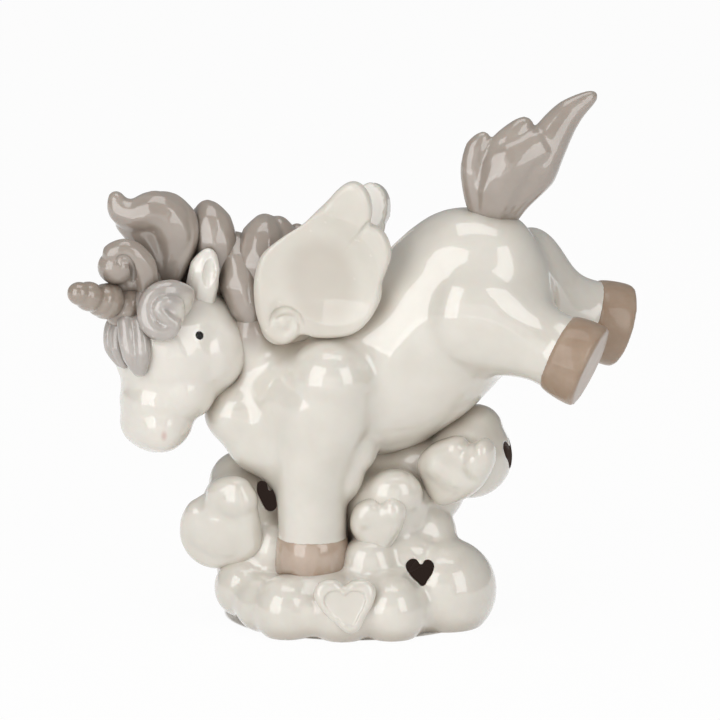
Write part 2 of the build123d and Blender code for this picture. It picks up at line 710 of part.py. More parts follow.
os.makedirs("parts", exist_ok=True)
for name, piece in pieces.items():
    piece.part.label = name
    export_step(piece.part, f"parts/{name}.step")
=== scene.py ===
"""Unicorn figurine in glazed porcelain: the looks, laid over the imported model."""
import bpy
from math import atan2, cos, degrees, radians, sin
from mathutils import Matrix, Vector


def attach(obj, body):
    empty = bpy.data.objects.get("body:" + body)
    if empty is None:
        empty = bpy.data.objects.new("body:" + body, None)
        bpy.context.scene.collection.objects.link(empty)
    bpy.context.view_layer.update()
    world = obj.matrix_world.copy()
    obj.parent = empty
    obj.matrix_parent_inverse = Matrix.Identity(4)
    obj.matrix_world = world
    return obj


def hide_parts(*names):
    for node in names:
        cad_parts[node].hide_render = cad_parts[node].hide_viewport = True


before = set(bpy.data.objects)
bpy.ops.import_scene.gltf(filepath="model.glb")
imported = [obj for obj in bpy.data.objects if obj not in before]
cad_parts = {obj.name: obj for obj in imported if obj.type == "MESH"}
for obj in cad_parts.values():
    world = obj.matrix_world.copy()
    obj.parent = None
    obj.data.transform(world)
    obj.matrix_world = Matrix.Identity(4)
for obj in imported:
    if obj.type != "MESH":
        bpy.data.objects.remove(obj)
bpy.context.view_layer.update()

MM = 0.001
UP = Vector((0, 0, 1))

# Camera: the photograph's view, a long lens a little above the figurine
CAMERA_ELEVATION = radians(12)
CAMERA_DISTANCE = 1.1
AIM = Vector((1.82, 0, 78)) * MM
IMAGE_PIXELS = 720
SCENE_WIDTH = 0.216
SENSOR_MM = 36
LINE_OF_SIGHT = Vector((0, cos(CAMERA_ELEVATION), -sin(CAMERA_ELEVATION)))
EYE_POINT = AIM - LINE_OF_SIGHT * CAMERA_DISTANCE


def seen(column, row, depth):
    """The place, depth millimetres behind the middle of the figurine, seen at a pixel of the photograph."""
    scale = SCENE_WIDTH / IMAGE_PIXELS / CAMERA_DISTANCE
    rise = (IMAGE_PIXELS / 2 - row) * scale
    back = depth * MM - EYE_POINT.y
    down = (back * (rise * cos(CAMERA_ELEVATION) - sin(CAMERA_ELEVATION))
            / (cos(CAMERA_ELEVATION) + rise * sin(CAMERA_ELEVATION)))
    distance = back * cos(CAMERA_ELEVATION) - down * sin(CAMERA_ELEVATION)
    across = EYE_POINT.x + (column - IMAGE_PIXELS / 2) * scale * distance
    return Vector((across, depth * MM, EYE_POINT.z + down))


# Colours and materials: porcelain is a fine white clay, and the glaze is a thin coat of glass over it
CLAY_IOR = 1.52
CLAY_ROUGHNESS = 0.32
CLAY_MILKINESS = 0.12
CLAY_LIGHT_DEPTH = 1.2 * MM
CLOUDING = 0.5
GLAZE_IOR = 1.7
GLAZE_ROUGHNESS = 0.035
# Real sizes on the fired skin: how far the painted shade of a fold reaches, the slow waves and the fine
# pores
FOLD_SHADE_REACH = 7 * MM
WAVE_SPACING = 9 * MM
WAVE_HEIGHT = 0.30 * MM
PORE_SPACING = 0.9 * MM
PORE_HEIGHT = 0.02 * MM
# The colour sockets of a Mix node
MIX_UNDER, MIX_OVER, MIX_RESULT = 6, 7, 2


def linear(code):
    """An sRGB hex colour as linear red, green, blue and alpha."""
    channels = [int(code[i:i + 2], 16) / 255 for i in (1, 3, 5)]
    return [c / 12.92 if c <= 0.04045 else ((c + 0.055) / 1.055) ** 2.4 for c in channels] + [1]


def add_node(tree, kind, settings=None, values=None, links=None):
    """Adds a node, with its settings, its socket values and the sockets that feed it."""
    node = tree.nodes.new(kind)
    for name, value in (settings or {}).items():
        setattr(node, name, value)
    for name, value in (values or {}).items():
        node.inputs[name].default_value = value
    for name, source in (links or {}).items():
        tree.links.new(source, node.inputs[name])
    return node


def glazed_porcelain(name, clay, thin, pooled_and_shaded, spot_mm=14, gloss=1.0, glow=0.0, paint_and_shade_patches=()):
    """Cast porcelain under a clear gloss glaze.

    The colour clouds softly in spots about a centimetre wide, thins to a paler tone on ridges, darkens in
    creases and near other pieces, partly as pooled glaze and partly as painted shade, and the fired surface
    waves a little, which bends the reflections.
    Soft patches are colour laid over the glaze, both slip brushed on and painted shade: place, half sizes,
    colour, strength and edge.
    Gloss below one dulls the glaze, and glow is painted light that lifts a piece no lamp reaches.
    """
    material = bpy.data.materials.new(name)
    material.use_nodes = True
    tree = material.node_tree
    tree.nodes.clear()
    place = add_node(tree, "ShaderNodeTexCoord").outputs["Object"]
    cloud = add_node(tree, "ShaderNodeTexNoise", values={"Scale": 1 / (spot_mm * MM), "Detail": 3.0,
                                                         "Roughness": 0.5}, links={"Vector": place})
    cloud_share = add_node(tree, "ShaderNodeMapRange",
                           values={"From Min": 0.35, "From Max": 0.70, "To Min": 0.0, "To Max": CLOUDING},
                           links={"Value": cloud.outputs["Fac"]})
    base = add_node(tree, "ShaderNodeMix", {"data_type": "RGBA"},
                    links={"Factor": cloud_share.outputs["Result"]})
    base.inputs[MIX_UNDER].default_value = linear(clay)
    base.inputs[MIX_OVER].default_value = linear(thin)
    shade = add_node(tree, "ShaderNodeAmbientOcclusion", {"samples": 6, "only_local": False},
                     {"Distance": FOLD_SHADE_REACH})
    crease_shade = add_node(tree, "ShaderNodeMapRange",
                      values={"From Min": 0.30, "From Max": 0.86, "To Min": 1.0, "To Max": 0.0},
                      links={"Value": shade.outputs["AO"]})
    pool_and_shade = add_node(tree, "ShaderNodeMix", {"data_type": "RGBA"},
                    links={"Factor": crease_shade.outputs["Result"]})
    tree.links.new(base.outputs[MIX_RESULT], pool_and_shade.inputs[MIX_UNDER])
    pool_and_shade.inputs[MIX_OVER].default_value = linear(pooled_and_shaded)
    ridge = add_node(tree, "ShaderNodeNewGeometry")
    edge = add_node(tree, "ShaderNodeMapRange",
                    values={"From Min": 0.54, "From Max": 0.64, "To Min": 0.0, "To Max": 0.65},
                    links={"Value": ridge.outputs["Pointiness"]})
    colour = add_node(tree, "ShaderNodeMix", {"data_type": "RGBA"},
                      links={"Factor": edge.outputs["Result"]})
    tree.links.new(pool_and_shade.outputs[MIX_RESULT], colour.inputs[MIX_UNDER])
    colour.inputs[MIX_OVER].default_value = linear(thin)
    painted = colour.outputs[MIX_RESULT]
    for middle, half_sizes_mm, paint, strength, edge_share in paint_and_shade_patches:
        patch_place = add_node(tree, "ShaderNodeMapping", {"vector_type": "TEXTURE"},
                               {"Location": middle, "Scale": [half * MM for half in half_sizes_mm]},
                               {"Vector": place})
        patch = add_node(tree, "ShaderNodeTexGradient", {"gradient_type": "SPHERICAL"},
                         links={"Vector": patch_place.outputs["Vector"]})
        fade = add_node(tree, "ShaderNodeMapRange", {"interpolation_type": "SMOOTHSTEP"},
                        {"From Min": 0.0, "From Max": edge_share, "To Min": 0.0, "To Max": strength},
                        {"Value": patch.outputs["Fac"]})
        patch_mix = add_node(tree, "ShaderNodeMix", {"data_type": "RGBA"},
                         links={"Factor": fade.outputs["Result"]})
        tree.links.new(painted, patch_mix.inputs[MIX_UNDER])
        patch_mix.inputs[MIX_OVER].default_value = linear(paint)
        painted = patch_mix.outputs[MIX_RESULT]
    wave = add_node(tree, "ShaderNodeTexNoise", values={"Scale": 1 / WAVE_SPACING, "Detail": 1.0},
                    links={"Vector": place})
    skin = add_node(tree, "ShaderNodeTexNoise", values={"Scale": 1 / PORE_SPACING, "Detail": 2.0},
                    links={"Vector": place})
    waves = add_node(tree, "ShaderNodeBump", values={"Strength": 0.25, "Distance": WAVE_HEIGHT},
                     links={"Height": wave.outputs["Fac"]})
    pores = add_node(tree, "ShaderNodeBump", values={"Strength": 0.08, "Distance": PORE_HEIGHT},
                     links={"Height": skin.outputs["Fac"], "Normal": waves.outputs["Normal"]})
    glaze = add_node(tree, "ShaderNodeBsdfPrincipled",
                     values={"Roughness": CLAY_ROUGHNESS, "IOR": CLAY_IOR, "Specular IOR Level": 0.5 * gloss,
                             "Coat Weight": gloss, "Coat Roughness": GLAZE_ROUGHNESS, "Coat IOR": GLAZE_IOR,
                             "Subsurface Weight": CLAY_MILKINESS, "Subsurface Scale": CLAY_LIGHT_DEPTH,
                             "Emission Color": linear(clay), "Emission Strength": glow},
                     links={"Base Color": painted, "Normal": waves.outputs["Normal"],
                            "Coat Normal": pores.outputs["Normal"]})
    add_node(tree, "ShaderNodeOutputMaterial", links={"Surface": glaze.outputs["BSDF"]})
    return material


# Each colour in three tones: the clay, where the glaze is thin, and in the folds, pooled glaze darkened
# further by painted shade
CREAM, PALE_CREAM, POOLED_AND_SHADED_CREAM = "#DBD6CC", "#ECE8E0", "#C3BAAD"
TAUPE, PALE_TAUPE, POOLED_AND_SHADED_TAUPE = "#A0948A", "#BBB1A7", "#7D7268"
GREY, PALE_GREY, POOLED_AND_SHADED_GREY = "#AEA7A1", "#CFC9C4", "#90877F"
# Cream porcelain is milky, with a warm grey in its folds that is partly pooled glaze and partly painted
# shade, and the windows mirrored in its glaze
cream_glaze = glazed_porcelain("cream_porcelain_glaze", CREAM, PALE_CREAM, POOLED_AND_SHADED_CREAM)
# The near ear is glazed a paler cream: painted light, for the light that falls on it
painted_light_ear_glaze = glazed_porcelain("painted_light_pale_ear_glaze", "#E9E5DD", "#F4F1EB", "#CDC5BA")
# The cloud's hollow is painted dark brown as painted shade, hardly shines, and glows a little as painted
# light
painted_shade_hollow_glaze = glazed_porcelain("painted_shade_hollow_of_the_cloud", "#2F2622", "#3A302B", "#231C19", gloss=0.2,
                                glow=0.9)
# Stained slip under the glaze: taupe for the mane and the tail, pale grey for the forelock's locks and a
# brownish grey for the horn
taupe_glaze = glazed_porcelain("taupe_porcelain_glaze", TAUPE, PALE_TAUPE, POOLED_AND_SHADED_TAUPE)
grey_glaze = glazed_porcelain("pale_grey_porcelain_glaze", GREY, PALE_GREY, POOLED_AND_SHADED_GREY, spot_mm=7)
SWIRL_END = (188, 312, -22)
swirl_glaze = glazed_porcelain("grey_to_cream_swirl_glaze", GREY, PALE_GREY, POOLED_AND_SHADED_GREY, spot_mm=7,
                               paint_and_shade_patches=[(seen(*SWIRL_END), (8.0, 9.0, 7.5), CREAM, 0.95, 0.6)])
horn_glaze = glazed_porcelain("brown_grey_horn_glaze", "#9A8C7F", "#B2A497", "#796B5F")
# Tan slip on the hooves; the hind ones are painted darker, as painted shade, and their glaze is duller
hoof_glaze = glazed_porcelain("tan_hoof_glaze", "#B6A08D", "#C8B6A6", "#8E7865", spot_mm=6)
painted_shade_hind_hoof_glaze = glazed_porcelain("painted_shade_tan_hoof_glaze", "#A38C78", "#B8A594", "#836D5A", spot_mm=6,
                                   gloss=0.3)
# A raised drop of black enamel, which shows one small highlight
black_enamel = glazed_porcelain("black_eye_enamel", "#0D0B0C", "#141212", "#090808", spot_mm=2, gloss=0.25)


# Modelling: lumps and rolls of clay are pressed together, worked over into one skin, and carved
SEAM = 0.01 * MM
SPONGE_STRENGTH = 0.5


def clear_selection():
    """Deselects everything, because an operator acts on all that is selected."""
    for thing in bpy.context.selected_objects:
        thing.select_set(False)


def only(thing):
    """Selects one piece alone and makes it the active one."""
    clear_selection()
    thing.select_set(True)
    bpy.context.view_layer.objects.active = thing


def node_copy(node):
    """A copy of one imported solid's mesh, with its doubles merged."""
    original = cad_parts[node]
    copy = original.copy()
    copy.data = original.data.copy()
    copy.parent = None
    for key in list(copy.keys()):
        del copy[key]
    bpy.context.scene.collection.objects.link(copy)
    only(copy)
    bpy.ops.object.mode_set(mode="EDIT")
    bpy.ops.mesh.select_all(action="SELECT")
    bpy.ops.mesh.remove_doubles(threshold=SEAM)
    bpy.ops.object.mode_set(mode="OBJECT")
    return copy


def ball(place, size_mm, turn=(0, 0, 0), fineness=3):
    """A lump of clay: a ball at a place, of three half sizes in millimetres, turned by degrees."""
    clear_selection()
    bpy.ops.mesh.primitive_ico_sphere_add(subdivisions=fineness, radius=1, location=place,
                                          rotation=[radians(angle) for angle in turn],
                                          scale=[half * MM for half in size_mm])
    lump = bpy.context.active_object
    bpy.ops.object.transform_apply(location=True, rotation=True, scale=True)
    return lump


def between(values, share):
    """A value read off a row of values by linear steps."""
    position = share * (len(values) - 1)
    index = min(int(position), len(values) - 2)
    rest = position - index
    return values[index] * (1 - rest) + values[index + 1] * rest


def along(points, share):
    """A place on a smooth path through the points."""
    position = share * (len(points) - 1)
    index = min(int(position), len(points) - 2)
    t = position - index
    a = points[max(index - 1, 0)]
    b, c = points[index], points[index + 1]
    d = points[min(index + 2, len(points) - 1)]
    return 0.5 * ((2 * b) + (c - a) * t + (2 * a - 5 * b + 4 * c - d) * t * t
                  + (3 * b - a - 3 * c + d) * t * t * t)


def roll(points, halves_mm, steps=24, flatness=1.0):
    """A roll of clay along a path, laid down as overlapping lumps."""
    lumps = []
    for step in range(steps + 1):
        share = step / steps
        half = between(halves_mm, share)
        lumps.append(ball(along(points, share), (half, half * flatness, half), fineness=2))
    return lumps


def strand(path, halves_mm, steps=24, flatness=1.0):
    """A roll of clay whose path is given by photograph column, row and depth."""
    return roll([seen(*spot) for spot in path], halves_mm, steps, flatness)


def touched(thing, column, row, lift_mm=0.0):
    """The place where the line of sight through a pixel meets the piece, lifted off its surface."""
    heading = (seen(column, row, 0) - EYE_POINT).normalized()
    hit, place, normal = thing.ray_cast(EYE_POINT, heading)[:3]
    return place + normal * (lift_mm * MM) if hit else seen(column, row, 0)


def joined(name, lumps):
    """The lumps pressed together into one piece."""
    clear_selection()
    for lump in lumps:
        lump.select_set(True)
    bpy.context.view_layer.objects.active = lumps[0]
    if len(lumps) > 1:
        bpy.ops.object.join()
    piece = bpy.context.view_layer.objects.active
    piece.name = name
    return piece


def worked(piece, voxel_mm, smoothing):
    """Works a piece over into one even skin and sponges it smooth."""
    only(piece)
    remesh = piece.modifiers.new("remesh", "REMESH")
    remesh.mode = "VOXEL"
    remesh.voxel_size = voxel_mm * MM
    smooth = piece.modifiers.new("smooth", "SMOOTH")
    smooth.factor = SPONGE_STRENGTH
    smooth.iterations = smoothing
    for modifier in ("remesh", "smooth"):
        bpy.ops.object.modifier_apply(modifier=modifier)
    bpy.ops.object.shade_smooth()
    return piece


def carved(piece, tool):
    """Cuts the shape of the tool out of the piece."""
    only(piece)
    cut = piece.modifiers.new("cut", "BOOLEAN")
    cut.operation = "DIFFERENCE"
    cut.solver = "EXACT"
    cut.material_mode = "TRANSFER"
    cut.object = tool
    bpy.ops.object.modifier_apply(modifier="cut")
    only(tool)
    bpy.ops.object.delete()
    return piece


def fattened(piece, thickness_mm):
    """The piece with its whole skin moved outwards."""
    only(piece)
    bpy.ops.object.mode_set(mode="EDIT")
    bpy.ops.mesh.select_all(action="SELECT")
    bpy.ops.transform.shrink_fatten(value=thickness_mm * MM)
    bpy.ops.object.mode_set(mode="OBJECT")
    return piece


def shifted(piece, offset_mm):
    """The piece moved by an offset, with its origin left where it was."""
    only(piece)
    bpy.ops.transform.translate(value=Vector(offset_mm) * MM)
    bpy.ops.object.transform_apply(location=True, rotation=True, scale=True)
    return piece


DISC_OVERRUN = 2 * MM
DISC_SIDES = 96


def disc(place, half_length_mm, half_depth_mm, top_mm):
    """An upright oval block whose underside is a little below the place."""
    clear_selection()
    bpy.ops.mesh.primitive_cylinder_add(
        vertices=DISC_SIDES, radius=1, depth=top_mm * MM + DISC_OVERRUN,
        location=place + UP * ((top_mm * MM - DISC_OVERRUN) / 2),
        scale=(half_length_mm * MM, half_depth_mm * MM, 1))
    block = bpy.context.active_object
    bpy.ops.object.transform_apply(location=True, rotation=True, scale=True)
    return block


# A new circle has four points, and a rounded edge is turned in three steps
CIRCLE_POINTS = 4
EDGE_STEPS = 3


def plate(name, rim, across, normal, thickness_mm, rounding_mm=0.0):
    """A flat plate cut to a closed smooth outline, with its two faces square to the normal."""
    origin = sum(rim, Vector()) / len(rim)
    across = (across - normal * across.dot(normal)).normalized()
    stand = Matrix((across, normal.cross(across), normal)).transposed().to_4x4()
    stand.translation = origin
    clear_selection()
    bpy.ops.curve.primitive_bezier_circle_add(location=(0, 0, 0))
    outline = bpy.context.active_object
    outline.name = name
    outline.data.dimensions = "2D"
    outline.data.fill_mode = "BOTH"
    outline.data.splines[0].bezier_points.add(len(rim) - CIRCLE_POINTS)
    for point, place in zip(outline.data.splines[0].bezier_points, rim):
        point.co = stand.inverted() @ place
        point.handle_left_type = "AUTO"
        point.handle_right_type = "AUTO"
    outline.data.extrude = (thickness_mm / 2 - rounding_mm) * MM
    outline.data.bevel_depth = rounding_mm * MM
    outline.data.bevel_resolution = EDGE_STEPS
    outline.data.offset = -rounding_mm * MM
    outline.matrix_world = stand
    only(outline)
    bpy.ops.object.convert(target="MESH")
    bpy.ops.object.transform_apply(location=True, rotation=True, scale=True)
    bpy.ops.object.mode_set(mode="EDIT")
    bpy.ops.mesh.select_all(action="SELECT")
    bpy.ops.mesh.remove_doubles(threshold=SEAM)
    bpy.ops.mesh.normals_make_consistent(inside=False)
    bpy.ops.object.mode_set(mode="OBJECT")
    return bpy.context.active_object


def on_plane(column, row, origin, normal):
    """The place where the line of sight through a pixel meets a plane."""
    heading = (seen(column, row, 0) - EYE_POINT).normalized()
    return EYE_POINT + heading * ((origin - EYE_POINT).dot(normal) / heading.dot(normal))


def glazed(piece, glaze):
    """The piece covered with one glaze."""
    piece.data.materials.clear()
    piece.data.materials.append(glaze)
    return piece


def placed(piece, nodes, glaze):
    """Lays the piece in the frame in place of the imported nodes, in its glaze."""
    glazed(piece, glaze)
    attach(piece, "root")
    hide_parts(*nodes)


def casting(name, lumps, nodes, glaze, voxel_mm, smoothing):
    """A piece made of lumps, worked smooth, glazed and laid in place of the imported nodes."""
    placed(worked(joined(name, lumps), voxel_mm, smoothing), nodes, glaze)


# Head: skull, two cheeks and the muzzle, turned towards the viewer
HEAD_TURN = (0, 0, 48)
HEAD_YAW = radians(HEAD_TURN[2])
FACING = Vector((-cos(HEAD_YAW), -sin(HEAD_YAW), 0))
LEFT_OF_FACE = Vector((sin(HEAD_YAW), -cos(HEAD_YAW), 0))
SKULL = Vector((-51.2, -5.5, 83.6)) * MM


def on_face(forward_mm, left_mm, up_mm):
    """A place ahead of, to the left of and above the middle of the skull."""
    return SKULL + (FACING * forward_mm + LEFT_OF_FACE * left_mm + UP * up_mm) * MM


# Place on the face, then half length, width and height
head_lumps_mm = [
    (0, 0, 0, 22.5, 19.0, 19.5),
    (-1.5, 9.0, -0.5, 13.0, 11.5, 13.2),
    (-1.5, -9.0, -0.5, 13.0, 11.5, 13.2),
    (5.0, 0, 3.0, 18.0, 16.0, 15.0),
    (6.5, 0, -9.0, 14.0, 14.2, 14.0),
    (9.5, 0, -15.0, 12.0, 12.6, 12.0),
    (11.0, 0, -20.2, 10.4, 11.7, 10.6),
    (12.5, 3.5, -21.5, 8.5, 8.2, 8.5),
    (12.5, -3.0, -21.2, 8.2, 7.8, 8.2),
    (6.5, 8.0, -11.0, 10.0, 8.4, 9.6),
]
head_lumps = [ball(on_face(*lump[:3]), lump[3:], HEAD_TURN) for lump in head_lumps_mm]
head = worked(joined("head_casting", head_lumps), voxel_mm=0.6, smoothing=26)
# The face: glazed a paler cream than the body, as painted light for the highlights on cheek and muzzle, with
# a dab of pink for the mouth, a paler ring round the eye and a grey fade under the forelock
LEFT_EYE_PIXEL = (199.6, 335.4)
MOUTH_PIXEL = (164, 436)
BROW_PIXEL = (190, 306)
EYE_RADIUS_MM = 1.38
EYE_SINK_MM = 0.5
face_glaze_painted_lighter = glazed_porcelain("cream_face_glaze_painted_lighter", "#E3DED5", "#F0ECE5", "#CBC3B7", paint_and_shade_patches=[
    (touched(head, *LEFT_EYE_PIXEL), (2.6, 2.6, 2.6), "#F2EFEA", 0.8, 0.5),
    (touched(head, *MOUTH_PIXEL), (1.3, 2.0, 2.4), "#C9968B", 0.5, 0.9),
    (touched(head, *BROW_PIXEL), (8.0, 9.0, 6.0), "#BDB7B2", 0.5, 0.8)])
placed(head, ["head"], face_glaze_painted_lighter)
# The near eye is a drop of enamel that stands a little proud of the cheek
eye_dot = ball(touched(head, *LEFT_EYE_PIXEL, -EYE_SINK_MM), (EYE_RADIUS_MM,) * 3)
casting("left_eye_dot", [eye_dot], ["left_eye"], black_enamel, voxel_mm=0.12, smoothing=1)

# Body: the trunk is worked smooth first, then the legs are luted on, so that all reads as one skin
trunk_nodes = ["torso", "neck", "left_foreleg", "right_foreleg", "left_hind_leg", "right_hind_leg"]
# Clay pressed in where the shoulder, the haunch and the rump run into the trunk: place and half sizes
filler_lumps_mm = [
    ((-17, -11, 68), (14.0, 12.0, 15.0)),
    ((29, -10, 98), (16.0, 15.0, 17.0)),
    ((33, -9, 112), (14.0, 14.0, 12.5)),
    ((38, -14, 90), (13.0, 12.0, 13.0)),
    ((46, 2, 103), (10.5, 12.0, 14.0)),
    ((-30.5, -8, 87), (7.0, 8.0, 11.0)),
    ((-35.3, -8, 63.6), (10.2, 10.5, 10.2)),
    ((-28.4, -9, 54.6), (10.2, 10.5, 9.8)),
]
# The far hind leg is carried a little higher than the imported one, where the photograph shows it
HIGHER_NODES = ("right_hind_leg", "right_hind_hoof")
HIGHER_BY_MM = (0, 0, 2.3)


def limb_copy(node):
    """A copy of a leg or hoof, where the photograph shows it."""
    return shifted(node_copy(node), HIGHER_BY_MM if node in HIGHER_NODES else (0, 0, 0))


trunk_lumps = [limb_copy(node) for node in trunk_nodes]
trunk_lumps += [ball(Vector(place) * MM, size) for place, size in filler_lumps_mm]
trunk = worked(joined("trunk", trunk_lumps), voxel_mm=1.5, smoothing=30)
hoof_nodes = ["left_fore_hoof", "right_fore_hoof", "left_hind_hoof", "right_hind_hoof"]
legs = [limb_copy(node) for node in trunk_nodes[2:] + hoof_nodes]
# Clay on the elbow of the near foreleg
ELBOW_TURN = (0, 20, 0)
elbow_lumps_mm = [((0.5, -13, 54), (7.0, 7.5, 9.0)), ((-2.5, -14, 45), (5.5, 6.5, 8.5))]
elbow = [ball(Vector(place) * MM, size, ELBOW_TURN) for place, size in elbow_lumps_mm]
body = worked(joined("body", [trunk] + legs + elbow), voxel_mm=0.9, smoothing=14)
# The mane's colour is brushed out over the side of the neck, below the last lock
NECK_SIDE_PIXEL = (252, 325)
body_glaze = glazed_porcelain("cream_body_glaze", CREAM, PALE_CREAM, POOLED_AND_SHADED_CREAM, paint_and_shade_patches=[
    (touched(body, *NECK_SIDE_PIXEL), (10.0, 14.0, 11.0), TAUPE, 0.95, 0.8)])
placed(body, trunk_nodes, body_glaze)

# Mane: each lobe is a fat roll that swells from its tip and runs down to the neck, most with softer ones
# beside it. A strand is its path, by column, row and depth, and its half thicknesses in millimetres.
mane_strands = {
    "mane_lock_1": [
        ([(116, 199, -11), (121, 210, -11), (136, 216, -11), (154, 212, -10.5), (168, 218, -10),
          (174, 232, -9.5), (173, 248, -9), (168, 264, -9), (164, 282, -8.5)],
         (2.5, 4.0, 5.4, 6.5, 6.9, 6.9, 6.1, 5.2, 4.2)),
        ([(150, 204, -8), (168, 206, -9), (182, 218, -9.5), (187, 234, -10), (182, 254, -10.5),
          (172, 276, -10.5)],
         (3.6, 4.4, 4.4, 3.8, 3.6, 3.2)),
        ([(129, 221, -9), (145, 235, -9), (157, 256, -9), (166, 284, -8)], (4.4, 5.8, 5.6, 5.0)),
        ([(132, 220, -5), (162, 232, -4), (168, 262, -4), (178, 288, -3)], (4.0, 6.4, 6.0, 5.5)),
    ],
    "mane_lock_2": [
        ([(207, 211, -4), (212, 225, -5.5), (215, 243, -5.5), (215, 262, -4), (212, 284, -2)],
         (3.5, 6.2, 7.0, 7.0, 6.2)),
        ([(203, 214, -3), (200, 232, -2), (200, 254, -1), (200, 280, 0)], (3.2, 4.6, 5.2, 5.0)),
    ],
    "mane_lock_3": [
        ([(265, 227, -3), (263, 241, -5), (262, 258, -6), (262, 278, -6.5), (262, 298, -6.5)],
         (4.2, 7.0, 8.4, 8.0, 6.0)),
        ([(278, 227, -2), (285, 244, -3), (287, 266, -4), (285, 290, -5)], (3.6, 5.4, 6.2, 6.2)),
    ],
    "mane_lock_4": [
        ([(297, 232, 1), (300, 250, 2), (302, 270, 2), (306, 292, 1)], (2.8, 4.6, 5.4, 5.6)),
        ([(314, 250, 3), (316, 270, 3), (318, 292, 2)], (3.0, 4.0, 4.4)),
    ],
    "mane_lock_5": [
        ([(236, 246, -3.5), (239, 264, -6), (243, 283, -8), (248, 303, -9.5), (250, 323, -10)],
         (4.6, 6.6, 7.4, 6.4, 2.6)),
    ],
}
STEPS_PER_POINT = 8
for node, strands in mane_strands.items():
    lumps = [lump for path, halves in strands
             for lump in strand(path, halves, steps=STEPS_PER_POINT * len(path))]
    casting(node + "_modelled", lumps, [node], taupe_glaze, voxel_mm=0.45, smoothing=10)

# Forelock: a snail curl above the horn, a flat swirl over the brow and two locks down the face
snail_path = [(148, 300, -17), (147.5, 284, -19), (144, 267, -20.5), (135, 255, -21.5), (124, 250.5, -22),
              (114, 254, -22)]
snail_halves = (3.2, 3.7, 3.8, 3.7, 3.6, 3.6)
snail_fillers = [
    ((116, 267, -21), (5.5, 4.8, 5.2)), ((138, 274, -16), (5.0, 4.0, 7.0)),
    ((146, 286, -13), (5.0, 7.0, 7.0)), ((123, 282, -17), (4.0, 4.0, 3.6)),
    ((131, 277, -18.5), (3.6, 3.2, 4.4)),
]
lumps = strand(snail_path, snail_halves, steps=90)
lumps += [ball(seen(*spot), size) for spot, size in snail_fillers]
snail = worked(joined("snail_curl", lumps), voxel_mm=0.35, smoothing=4)
snail_groove_pixels = [(133, 281), (133.5, 272), (131, 263), (126, 257.5), (120, 257), (117.5, 261.5),
                       (120, 266)]
snail_groove_halves = (0.8, 1.0, 0.9, 0.8, 0.7, 0.6, 0.4)
SNAIL_GROOVE_LIFT = 0.1
groove_path = [touched(snail, *pixel, SNAIL_GROOVE_LIFT) for pixel in snail_groove_pixels]
snail_groove = worked(joined("snail_groove", roll(groove_path, snail_groove_halves, steps=60)),
                      voxel_mm=0.22, smoothing=1)
snail = worked(carved(snail, snail_groove), voxel_mm=0.3, smoothing=3)
placed(snail, ["forelock_curl"], taupe_glaze)

swirl_path = [(187, 293, -19), (173, 290, -22), (158, 293, -23.5), (148.5, 304, -24.5), (148, 318, -25.5),
              (155, 329, -26.5), (167, 331, -27), (175, 324, -27)]
swirl_halves = (2.4, 3.2, 3.3, 3.2, 3.2, 3.2, 3.0, 2.2)
swirl_inner_path = [(178, 304, -25), (166, 302, -26.5), (159, 308, -27), (165, 317, -27.5),
                    (171, 321, -27.5)]
swirl_inner_halves = (2.0, 2.3, 2.2, 2.2, 1.9)
swirl_fillers = [
    ((163, 312, -24.3), (6.6, 3.8, 6.8)), ((166, 302, -19), (8.0, 6.5, 6.5)),
    ((148, 306, -18), (5.0, 6.0, 6.5)), ((178, 297, -18), (5.0, 5.0, 4.0)),
]
lumps = strand(swirl_path, swirl_halves, steps=80) + strand(swirl_inner_path, swirl_inner_halves, steps=40)
lumps += [ball(seen(*spot), size) for spot, size in swirl_fillers]
casting("swirl_curl", lumps, ["forelock_swirl"], swirl_glaze, voxel_mm=0.35,
        smoothing=10)

face_lock_strands = {
    "front_lock": [
        ([(126, 322, -22), (128, 338, -24), (132, 356, -25), (139, 371, -24.5)], (2.8, 3.1, 2.9, 1.9)),
        ([(139, 322, -23), (142, 340, -25.5), (143, 357, -26.5), (141, 371, -25.5)], (2.4, 2.6, 2.4, 1.8)),
        ([(132, 320, -20), (135, 345, -22), (138, 366, -22)], (3.4, 3.8, 2.2)),
    ],
    "side_lock": [
        ([(117, 316, -15), (112, 330, -16), (112, 347, -17), (120, 362, -18)], (2.0, 2.6, 2.4, 1.6)),
        ([(122, 318, -18), (118, 332, -19), (118, 348, -20), (124, 364, -21)], (2.0, 2.4, 2.2, 1.5)),
    ],
}
face_lock_smoothing = {"front_lock": 12, "side_lock": 4}
for name, strands in face_lock_strands.items():
    lumps = [lump for path, halves in strands for lump in strand(path, halves)]
    casting(name, lumps, ["forelock_" + name], grey_glaze, voxel_mm=0.35,
            smoothing=face_lock_smoothing[name])

# Horn: three fat bands wound to a blunt tip: pixel and depth, then half length, half width and the tilt
HORN_YAW = 40
horn_bands = [
    ((132, 309, -14.5), 5.6, 6.9, 18), ((123.5, 306, -17.5), 4.6, 6.7, 30),
    ((107, 301, -22), 4.7, 5.6, 32), ((101.5, 299.8, -23.5), 3.4, 5.1, 32),
    ((89, 296.5, -26.5), 4.8, 4.4, 24), ((79.8, 293.8, -28.6), 3.9, 3.5, 20),
]
lumps = [ball(seen(*spot), (half_length, half_width, half_width), (0, tilt, HORN_YAW))
         for spot, half_length, half_width, tilt in horn_bands]
casting("horn_banded", lumps, ["horn"], horn_glaze, voxel_mm=0.3, smoothing=5)

